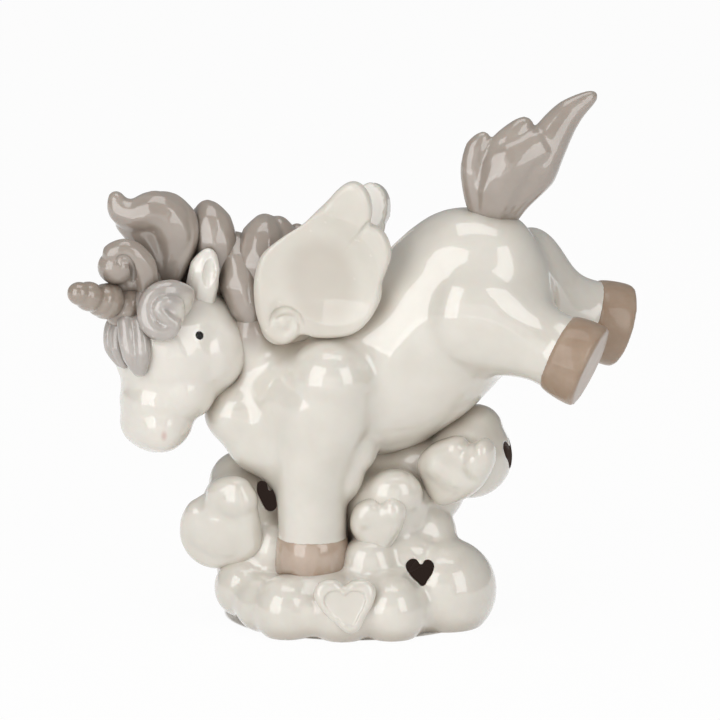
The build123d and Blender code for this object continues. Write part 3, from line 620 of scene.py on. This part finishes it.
# Ears: a thick leaf hollowed out on its front
EAR_LEAN = 8
EAR_HOLLOW_PIXEL = (209.5, 273)
EAR_HOLLOW_LIFT = 0.4
ear_path = [(201, 296, -11.5), (202.5, 283, -12.5), (204.5, 270, -13.5), (207, 260, -13.5),
            (208.5, 254.5, -13.5)]
ear_halves = (4.8, 5.1, 4.8, 3.4, 2.0)
left_ear = worked(joined("left_ear_leaf", strand(ear_path, ear_halves, flatness=0.75)), voxel_mm=0.35,
                  smoothing=3)
ear_hollow = ball(touched(left_ear, *EAR_HOLLOW_PIXEL, EAR_HOLLOW_LIFT), (2.2, 2.3, 5.4), (0, EAR_LEAN, 0))
left_ear = worked(carved(left_ear, ear_hollow), voxel_mm=0.3, smoothing=2)
# The near ear takes the paler glaze of painted light
placed(left_ear, ["left_ear"], painted_light_ear_glaze)
casting("right_ear_leaf", [node_copy("right_ear")], ["right_ear"], cream_glaze,
        voxel_mm=0.35, smoothing=3)

# Wings: the near one is a blade and a second feather behind it, dished on its face. Its leading edge rolls
# over to a small curl at the root.
WING_ROOT = Vector((-23.7, -15.1, 84.2)) * MM
WING_NORMAL = Vector((-0.256, -0.954, -0.156)).normalized()
ACROSS = Vector((1, 0, 0))


def on_wing(column, row, sink_mm=0.0):
    """The place where the line of sight through a pixel meets the wing's face, sunk under it."""
    return on_plane(column, row, WING_ROOT - WING_NORMAL * (sink_mm * MM), WING_NORMAL)


WING_THICKNESS = 4.8
WING_ROUNDING = 1.5
FEATHER_STEP = 0.9
wing_blade_pixels = [
    (350, 182), (340, 187.5), (328, 200), (314, 213.5), (299, 228), (281, 241), (266, 254), (258, 268),
    (256, 284), (257, 302), (260, 322), (268, 339), (284, 344), (302, 334), (318, 337), (336, 337),
    (354, 333), (367, 323), (376, 308), (376, 292), (364, 268), (352, 248), (362, 234), (369, 225),
    (372, 214), (371, 201), (365, 189), (358, 183)]
second_feather_pixels = [
    (346, 236), (360, 228), (372, 225), (382, 231), (389, 243), (391, 256), (387, 270), (382, 284),
    (381, 298), (372, 315), (352, 328), (325, 320), (320, 280), (332, 250)]
wing_blades = {"wing_blade": (wing_blade_pixels, WING_THICKNESS / 2),
               "second_feather": (second_feather_pixels, WING_THICKNESS / 2 + FEATHER_STEP)}
wing_lumps = [plate(name, [on_wing(*pixel, sink) for pixel in pixels], ACROSS, WING_NORMAL, WING_THICKNESS,
                    WING_ROUNDING) for name, (pixels, sink) in wing_blades.items()]
wing_rim_pixels = [(330, 207), (318, 219), (302, 233), (286, 246), (272, 261), (267, 280), (267, 302),
                   (269, 318), (275, 331), (285, 336.5), (294, 332), (297, 324)]
wing_rim_halves = (0.8, 1.5, 2.2, 2.9, 3.7, 4.1, 4.0, 3.5, 3.0, 2.5, 1.9, 1.3)
RIM_SINK_SHARE = 0.36
wing_rim = [on_wing(*pixel, half * RIM_SINK_SHARE) for pixel, half in zip(wing_rim_pixels, wing_rim_halves)]
wing_lumps += roll(wing_rim, wing_rim_halves, steps=120)
# A low ridge beside the rim, and clay at the root
wing_ridge_pixels = [(296, 244), (282, 262), (278, 284), (280, 306)]
wing_ridge_halves = (2.6, 3.4, 3.6, 3.0)
WING_RIDGE_SINK = 2.6
wing_ridge = [on_wing(*pixel, WING_RIDGE_SINK) for pixel in wing_ridge_pixels]
wing_lumps += roll(wing_ridge, wing_ridge_halves, steps=40)
WING_CURL_PIXEL = (284, 320)
WING_CURL_SINK = 1.3
wing_lumps.append(ball(on_wing(*WING_CURL_PIXEL, WING_CURL_SINK), (3.3, 3.0, 3.3)))
wing_fillers = [((290, 326, -10), (10.0, 6.0, 5.0)), ((330, 318, -14), (12.0, 6.0, 5.0)),
                ((350, 300, -15), (6.0, 5.0, 5.0))]
wing_lumps += [ball(seen(*spot), size) for spot, size in wing_fillers]
left_wing = worked(joined("left_wing_casting", wing_lumps), voxel_mm=0.5, smoothing=3)
DISH_PIXEL = (330, 272)
DISH_RADIUS = 46
DISH_DEPTH = 3.2
dish_middle = on_wing(*DISH_PIXEL) + WING_NORMAL * ((DISH_RADIUS - DISH_DEPTH) * MM)
dish = ball(dish_middle, (DISH_RADIUS,) * 3, fineness=6)
left_wing = worked(carved(left_wing, dish), voxel_mm=0.42, smoothing=3)
# Grooves: pixels, half widths and how far the tool is lifted off the face
wing_grooves = {
    "curl_groove": ([(270, 329), (272, 319), (278, 312.5), (287, 310.5), (296, 315), (300.5, 324),
                     (300, 333)],
                    (0.5, 1.0, 1.4, 1.5, 1.4, 1.1, 0.5), 0.3),
    "curl_inner_groove": ([(291, 320), (295.5, 326), (293, 333)], (0.4, 0.7, 0.4), 0.3),
    "feather_groove": ([(368, 224), (361, 233), (352, 243), (343, 254)], (0.9, 0.8, 0.6, 0.3), 0.1),
}
for name, (pixels, halves, lift) in wing_grooves.items():
    tool = roll([touched(left_wing, *pixel, lift) for pixel in pixels], halves, steps=40)
    left_wing = carved(left_wing, worked(joined(name, tool), voxel_mm=0.25, smoothing=1))
left_wing = worked(left_wing, voxel_mm=0.4, smoothing=4)
# A painted shade darkens the dish of the wing's face
WING_DISH_PAINTED_SHADE = (329, 274, -17)
wing_glaze_with_painted_shade = glazed_porcelain("cream_wing_glaze_with_painted_shade", CREAM, PALE_CREAM, POOLED_AND_SHADED_CREAM, gloss=0.45, paint_and_shade_patches=[
    (seen(*WING_DISH_PAINTED_SHADE), (16.0, 9.0, 21.0), "#C9C1B6", 0.62, 0.45)])
placed(left_wing, ["left_wing"], wing_glaze_with_painted_shade)
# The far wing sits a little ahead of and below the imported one, where the photograph shows it,
# and a scallop under its first feather lets the background through
RIGHT_WING_SHIFT_MM = (-9.6, 0, -5.2)
right_wing = shifted(node_copy("right_wing"), RIGHT_WING_SHIFT_MM)
SCALLOP_PIXEL = (421, 242)
SCALLOP_RADIUS = 12.3
scallop_path = [seen(*SCALLOP_PIXEL, depth) for depth in (-6, 6, 18, 30)]
scallop = worked(joined("scallop", roll(scallop_path, (SCALLOP_RADIUS, SCALLOP_RADIUS), steps=40)),
                 voxel_mm=0.8, smoothing=2)
casting("right_wing_casting", [carved(right_wing, scallop)], ["right_wing"], cream_glaze,
        voxel_mm=0.5, smoothing=8)

# Tail: three flames on one narrow root
tail_strands = [
    ([(488, 222, -9), (480, 196, -9.5), (475, 170, -9.5), (477, 150, -9.5), (483, 139, -9.5)],
     (4.4, 5.0, 4.6, 3.8, 2.4)),
    ([(492, 222, -9), (496, 192, -9.5), (502, 165, -9.5), (510, 144, -9.5), (524, 126, -9)],
     (4.8, 6.6, 7.0, 5.4, 3.0)),
    ([(498, 222, -8), (513, 196, -9), (533, 170, -9), (547, 144, -8), (567, 115, -7), (591.5, 96.5, -6.5)],
     (4.4, 6.0, 7.4, 6.4, 4.6, 2.0)),
    ([(491, 216, -9.6), (498, 190, -10), (511, 165, -10.2), (534, 150, -9.6)], (5.0, 7.8, 8.6, 6.6)),
]
lumps = [lump for path, halves in tail_strands for lump in strand(path, halves, steps=36, flatness=0.8)]
casting("tail_modelled", lumps, ["tail"], taupe_glaze, voxel_mm=0.5, smoothing=16)

# Base: the cloud's outside is a heap of lumps, sponged smooth and cut flat; its hollow is carved out.
# A lump is its place and radius.
cloud_lumps_mm = [
    (-32.7, -12.2, 10.9, 9.5), (-19.8, -25.1, 7.7, 10.5), (-3.4, -27.4, 7.7, 10.5), (11.2, -25.8, 7.7, 11.0),
    (27.5, -12.9, 10.6, 15.5), (27.5, 14.4, 7.0, 11.5), (11.2, 26.6, 8.3, 11.0), (-5.2, 27.0, 7.7, 11.0),
    (-19.8, 24.3, 8.3, 11.0), (-31.8, 9.9, 10.9, 10.5), (-34.0, 3.8, 39.0, 10.2), (-24.9, 9.9, 35.2, 13.0),
    (-18.9, 2.3, 30.7, 13.0), (9.5, -6.1, 33.9, 14.0), (34.8, -3.0, 49.3, 13.0), (21.5, 2.3, 38.5, 12.5),
    (3.4, 13.7, 37.8, 14.5), (21.5, 12.9, 35.2, 11.5), (-33.5, -3.0, 32.6, 13.0), (37.0, -2.3, 57.0, 8.0)]
# Clay pressed between the lumps, so that the folds are shallow: place and half sizes
fold_lumps_mm = [
    ((-27, -20, 8), (9.0, 8.5, 9.0)), ((-12, -27, 8), (8.5, 8.0, 8.5)), ((4, -27.5, 8), (8.5, 8.0, 8.5)),
    ((18, -22, 8), (8.5, 8.0, 9.0)), ((-9, -22, 14), (17.0, 9.0, 5.0)), ((10, -21, 14), (12.0, 8.0, 5.5)),
    ((20.5, -6, 26), (10.8, 9.0, 9.5)), ((15, -14, 21), (11.0, 7.5, 8.0)), ((-30, -8, 22), (9.0, 8.0, 9.0)),
    ((5, -17, 20), (9.5, 8.0, 8.5)), ((33, -8, 4), (8.5, 10.0, 6.0)), ((-24, -11, 21), (8.5, 7.5, 10.5)),
    ((12, -14, 40), (9.0, 7.0, 8.0)), ((6, 0, 44), (13.0, 10.0, 8.0)), ((22, 1, 47), (13.0, 9.0, 8.0)),
    ((-36, 4, 24), (5.0, 8.0, 12.0)),
]
WALL = 3
# The core: place, half length, half depth and top of two blocks, and the roof left over the hollow in each
core_discs_mm = [((0, 0, 0), 35, 27, 16.5, 3), ((0, 4, 0), 27, 14, 40, 5)]
cloud_clay = [ball(Vector(lump[:3]) * MM, (lump[3],) * 3, fineness=4) for lump in cloud_lumps_mm]
cloud_clay += [ball(Vector(place) * MM, size) for place, size in fold_lumps_mm]
cloud_clay += [disc(Vector(place) * MM, half_length, half_depth, top)
               for place, half_length, half_depth, top, roof in core_discs_mm]
cloud = glazed(worked(joined("cloud_base_shell", cloud_clay), voxel_mm=0.8, smoothing=26), cream_glaze)
TABLE_HALF = 60
TABLE_DEPTH = 20
below_table = disc(Vector((0, 0, -TABLE_DEPTH)) * MM, TABLE_HALF, TABLE_HALF, TABLE_DEPTH)
cloud = carved(cloud, below_table)
# The hollow is the core and these lumps of the heap, each smaller by the wall
hollow_lump_numbers = (4, 5, 11, 12, 14, 15, 18)
hollow_clay = [ball(Vector(cloud_lumps_mm[number][:3]) * MM, (cloud_lumps_mm[number][3] - WALL,) * 3,
                    fineness=4) for number in hollow_lump_numbers]
hollow_clay += [disc(Vector(place) * MM, half_length - WALL, half_depth - WALL, top - roof)
                for place, half_length, half_depth, top, roof in core_discs_mm]
# The hollow's inside takes the dark glaze of painted shade
hollow = glazed(worked(joined("hollow", hollow_clay), voxel_mm=0.8, smoothing=2), painted_shade_hollow_glaze)
cloud = carved(cloud, hollow)
# Heart-shaped openings through the wall, as the photograph shows them
opening_pixels = {
    "front_opening": [(421.5, 565), (416, 560), (409, 561), (406, 567), (410, 575), (417, 582), (423, 586),
                      (428, 580), (433, 572), (434, 565), (430, 560.5), (425, 561)],
    "left_opening": [(270, 491), (265.5, 483), (259.5, 481.5), (256.5, 488), (260, 499), (271, 511.5),
                     (279, 502), (283, 493), (283, 485), (278.5, 479.5), (272.5, 483)],
}
# A pixel on the skin beside each opening, which tells how far away the punch is held
opening_edge_pixels = {"front_opening": (442, 574), "left_opening": (250, 497)}
OPENING_DEPTH = 22
OPENING_PUSH = 6
for name, pixels in opening_pixels.items():
    middle = touched(cloud, *opening_edge_pixels[name])
    rim = [on_plane(*pixel, middle, LINE_OF_SIGHT) for pixel in pixels]
    # The walls of the opening take the dark glaze of painted shade
    punch = glazed(plate(name, rim, ACROSS, LINE_OF_SIGHT, OPENING_DEPTH), painted_shade_hollow_glaze)
    cloud = carved(cloud, shifted(punch, LINE_OF_SIGHT * OPENING_PUSH))
# Two more openings, which the photograph shows edge on or not at all: lump number and direction.
# Their heart is given in shares of its width.
heart_shares = [(0, 0.24), (-0.22, 0.44), (-0.45, 0.36), (-0.5, 0.12), (-0.34, -0.18), (0, -0.5),
                (0.34, -0.18), (0.5, 0.12), (0.45, 0.36), (0.22, 0.44)]
OPENING_WIDTH = 9.2
side_openings = {"right_opening": (14, (0.95, -0.25, 0.12)), "back_opening": (11, (-0.64, 0.74, 0.20))}
for name, (number, direction) in side_openings.items():
    outward = Vector(direction).normalized()
    level = UP.cross(outward).normalized()
    middle = (Vector(cloud_lumps_mm[number][:3]) + outward * cloud_lumps_mm[number][3]) * MM
    rim = [middle + (level * x + outward.cross(level) * y) * (OPENING_WIDTH * MM) for x, y in heart_shares]
    # The walls of the opening take the dark glaze of painted shade
    punch = glazed(plate(name, rim, level, outward, OPENING_DEPTH / 2), painted_shade_hollow_glaze)
    cloud = carved(cloud, punch)
only(cloud)
bpy.ops.object.shade_smooth()
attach(cloud, "root")
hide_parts("cloud_base")

# Applied hearts: the outline seen in the photograph, laid on the lump and puffed up.
# Place and direction, outline, thickness, rounding, then the puffs' pixels and half sizes.
applied_hearts = {
    "heart_left_large": (
        (-37.7, -13.5, 30.3), (-0.36, -0.90, -0.20),
        [(204, 499), (210, 484), (226, 477), (243, 480), (252, 491), (256.5, 509), (260, 530), (261, 548),
         (248, 560), (231, 566), (212, 566), (196, 558), (184, 542), (181, 525), (185, 509), (193, 500)],
        8.5, 3.8,
        [((222, 525), (11.5, 5.8, 11.0)), ((206, 526), (7.2, 5.6, 8.4)), ((236, 500), (7.0, 5.6, 6.2))]),
    "heart_right_upper": (
        (29.7, -12.9, 46.5), (-0.44, -0.86, -0.24),
        [(472, 449), (480, 439.5), (489, 443), (494, 456), (490, 474), (478, 490), (460, 500), (441, 502),
         (430, 490), (423, 475), (419, 460), (427, 448), (442, 440), (460, 438.5)],
        9.0, 3.6,
        [((456, 470), (9.5, 5.4, 7.5)), ((442, 463), (6.6, 5.6, 6.4)), ((478, 461), (4.8, 5.5, 6.2))]),
    "heart_front_middle": (
        (7.6, -18.4, 32.65), (-0.15, -0.98, -0.10),
        [(381, 503), (374, 499), (362, 501), (352, 511), (350, 526), (358, 540), (370, 550), (384, 556),
         (395, 541), (404, 524), (406, 508), (399, 499), (389, 497)],
        7.5, 3.2,
        [((366, 517), (4.6, 4.4, 5.2)), ((394, 512), (3.8, 4.4, 4.4)), ((380, 532), (4.4, 4.0, 5.2))]),
    "heart_front_low": (
        (-2.95, -36.2, 9.7), (0.05, -0.97, 0.22),
        [(344, 586), (338, 580), (327, 579), (317, 584), (313, 593), (318, 606), (332, 621), (353, 634),
         (368, 614), (375, 600), (376, 589), (370, 581), (359, 579), (350, 581)],
        5.0, 2.0, []),
}
# The lowest heart has a sunk face inside a raised rim
SUNK_HEART = "heart_front_low"
SUNK_SHARE = 0.66
SUNK_DEPTH = 0.8
SUNK_TOOL = 3.0
for node, (place, direction, rim_pixels, thickness, rounding, puffs) in applied_hearts.items():
    middle = Vector(place) * MM
    outward = Vector(direction).normalized()
    turn = (0, 0, degrees(atan2(outward.x, -outward.y)))
    rim = [on_plane(*pixel, middle, outward) for pixel in rim_pixels]
    relief = [plate(node + "_relief", rim, ACROSS, outward, thickness, rounding)]
    relief += [ball(on_plane(*pixel, middle, outward), size, turn) for pixel, size in puffs]
    piece = worked(joined(node + "_relief", relief), voxel_mm=0.5, smoothing=22)
    if node == SUNK_HEART:
        above = outward * ((thickness / 2 + SUNK_TOOL / 2 - SUNK_DEPTH) * MM)
        sunk_rim = [middle + (spot - middle) * SUNK_SHARE + above for spot in rim]
        piece = carved(piece, plate("sunk_face", sunk_rim, ACROSS, outward, SUNK_TOOL))
        piece = worked(piece, voxel_mm=0.35, smoothing=5)
    placed(piece, [node], cream_glaze)
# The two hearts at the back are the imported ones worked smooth; the right one is set in, so that it stays
# inside the outline
back_heart_shifts_mm = {"heart_back_left": (0, 0, 0), "heart_back_right": (-3.5, 1.0, -2.5)}
for node, offset in back_heart_shifts_mm.items():
    casting(node + "_relief", [shifted(node_copy(node), offset)], [node], cream_glaze,
            voxel_mm=0.5, smoothing=20)

# Hooves: the fore ones are crisp rings, the hind ones are rounded off at the sole.
# Glaze, smoothing and how far the skin is moved outwards.
fore_finish = (hoof_glaze, 5, 0.24)
# The hind hooves take the darker glaze of painted shade
hind_finish = (painted_shade_hind_hoof_glaze, 30, 0.45)
hoof_finish = dict(zip(hoof_nodes, (fore_finish, fore_finish, hind_finish, hind_finish)))
for node, (glaze, smoothing, thickness) in hoof_finish.items():
    hoof = worked(joined(node + "_glazed", [limb_copy(node)]), voxel_mm=0.5, smoothing=smoothing)
    placed(fattened(hoof, thickness), [node], glaze)

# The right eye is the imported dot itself
glazed(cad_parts["right_eye"], black_enamel)


# Stage: a pale floor that keeps the shadow and reads as white paper to the camera, but stays dark under the
# cloud, where it shows through the openings
FLOOR_SIZE = 6
PAPER_SHARE = 0.96
UNDER_CLOUD_HALF_LENGTH = 44 * MM
UNDER_CLOUD_HALF_DEPTH = 36 * MM
MIX_SHARE, MIX_FIRST, MIX_SECOND = 0, 1, 2


def paper_floor(name, colour, seen_share):
    """Matt paper that glows to the camera and in the glaze's reflections, except under the cloud."""
    material = bpy.data.materials.new(name)
    material.use_nodes = True
    tree = material.node_tree
    tree.nodes.clear()
    rays = add_node(tree, "ShaderNodeLightPath")
    camera_or_glossy = add_node(tree, "ShaderNodeMath", {"operation": "MAXIMUM"})
    tree.links.new(rays.outputs["Is Camera Ray"], camera_or_glossy.inputs[0])
    tree.links.new(rays.outputs["Is Glossy Ray"], camera_or_glossy.inputs[1])
    seen_rays = add_node(tree, "ShaderNodeMath", {"operation": "MAXIMUM"})
    tree.links.new(camera_or_glossy.outputs[0], seen_rays.inputs[0])
    tree.links.new(rays.outputs["Is Transmission Ray"], seen_rays.inputs[1])
    place = add_node(tree, "ShaderNodeTexCoord").outputs["Object"]
    oval_scale = (1 / UNDER_CLOUD_HALF_LENGTH, 1 / UNDER_CLOUD_HALF_DEPTH, 1.0)
    oval = add_node(tree, "ShaderNodeMapping", values={"Scale": oval_scale}, links={"Vector": place})
    under = add_node(tree, "ShaderNodeTexGradient", {"gradient_type": "SPHERICAL"},
                     links={"Vector": oval.outputs["Vector"]})
    outside = add_node(tree, "ShaderNodeMapRange",
                       values={"From Min": 0.10, "From Max": 0.12, "To Min": seen_share, "To Max": 0.0},
                       links={"Value": under.outputs["Fac"]})
    share = add_node(tree, "ShaderNodeMath", {"operation": "MULTIPLY"})
    tree.links.new(seen_rays.outputs[0], share.inputs[0])
    tree.links.new(outside.outputs["Result"], share.inputs[1])
    paper = add_node(tree, "ShaderNodeBsdfDiffuse", values={"Color": linear(colour)})
    glow = add_node(tree, "ShaderNodeEmission", values={"Color": linear("#FFFFFF"), "Strength": 1.0})
    mixed = add_node(tree, "ShaderNodeMixShader")
    tree.links.new(share.outputs[0], mixed.inputs[MIX_SHARE])
    tree.links.new(paper.outputs[0], mixed.inputs[MIX_FIRST])
    tree.links.new(glow.outputs[0], mixed.inputs[MIX_SECOND])
    add_node(tree, "ShaderNodeOutputMaterial", links={"Surface": mixed.outputs[0]})
    return material


clear_selection()
bpy.ops.mesh.primitive_plane_add(size=FLOOR_SIZE, location=(0, 0, 0))
floor = bpy.context.active_object
floor.name = "floor"
floor.data.materials.append(paper_floor("white_paper_floor", "#F7F6F4", PAPER_SHARE))

# The room is pale grey to the figurine and white to the camera
ROOM_LIGHT = 0.35
world = bpy.data.worlds.new("studio")
bpy.context.scene.world = world
world.use_nodes = True
studio = world.node_tree
studio.nodes.clear()
rays = add_node(studio, "ShaderNodeLightPath")
room = add_node(studio, "ShaderNodeBackground", values={"Color": linear("#F4F2EF"), "Strength": ROOM_LIGHT})
backdrop = add_node(studio, "ShaderNodeBackground", values={"Color": linear("#FFFFFF"), "Strength": 1.0})
choice = add_node(studio, "ShaderNodeMixShader")
studio.links.new(rays.outputs["Is Camera Ray"], choice.inputs[MIX_SHARE])
studio.links.new(room.outputs[0], choice.inputs[MIX_FIRST])
studio.links.new(backdrop.outputs[0], choice.inputs[MIX_SECOND])
add_node(studio, "ShaderNodeOutputWorld", links={"Surface": choice.outputs[0]})


def softbox(name, place, width, height, watts):
    """A rectangular lamp that looks at the middle of the figurine."""
    clear_selection()
    bpy.ops.object.light_add(type="AREA", location=place)
    lamp = bpy.context.active_object
    lamp.name = name
    lamp.data.shape = "RECTANGLE"
    lamp.data.size = width
    lamp.data.size_y = height
    lamp.data.energy = watts
    lamp.rotation_euler = (AIM - Vector(place)).to_track_quat("-Z", "Y").to_euler()


softbox("window_left", (-0.52, -0.62, 0.38), width=0.56, height=0.86, watts=3.4)
softbox("window_right", (0.50, -0.66, 0.42), width=0.40, height=0.74, watts=1.9)
softbox("overhead", (0.0, -0.05, 0.85), width=0.50, height=0.40, watts=1.1)
softbox("front_fill", (-0.10, -0.95, 0.16), width=0.80, height=0.50, watts=0.8)

clear_selection()
bpy.ops.object.camera_add(location=EYE_POINT)
camera = bpy.context.active_object
camera.rotation_euler = LINE_OF_SIGHT.to_track_quat("-Z", "Y").to_euler()
camera.data.sensor_width = SENSOR_MM
camera.data.lens = SENSOR_MM * CAMERA_DISTANCE / SCENE_WIDTH
camera.data.clip_start = 10 * MM
bpy.context.scene.camera = camera
bpy.context.scene.view_settings.view_transform = "Standard"
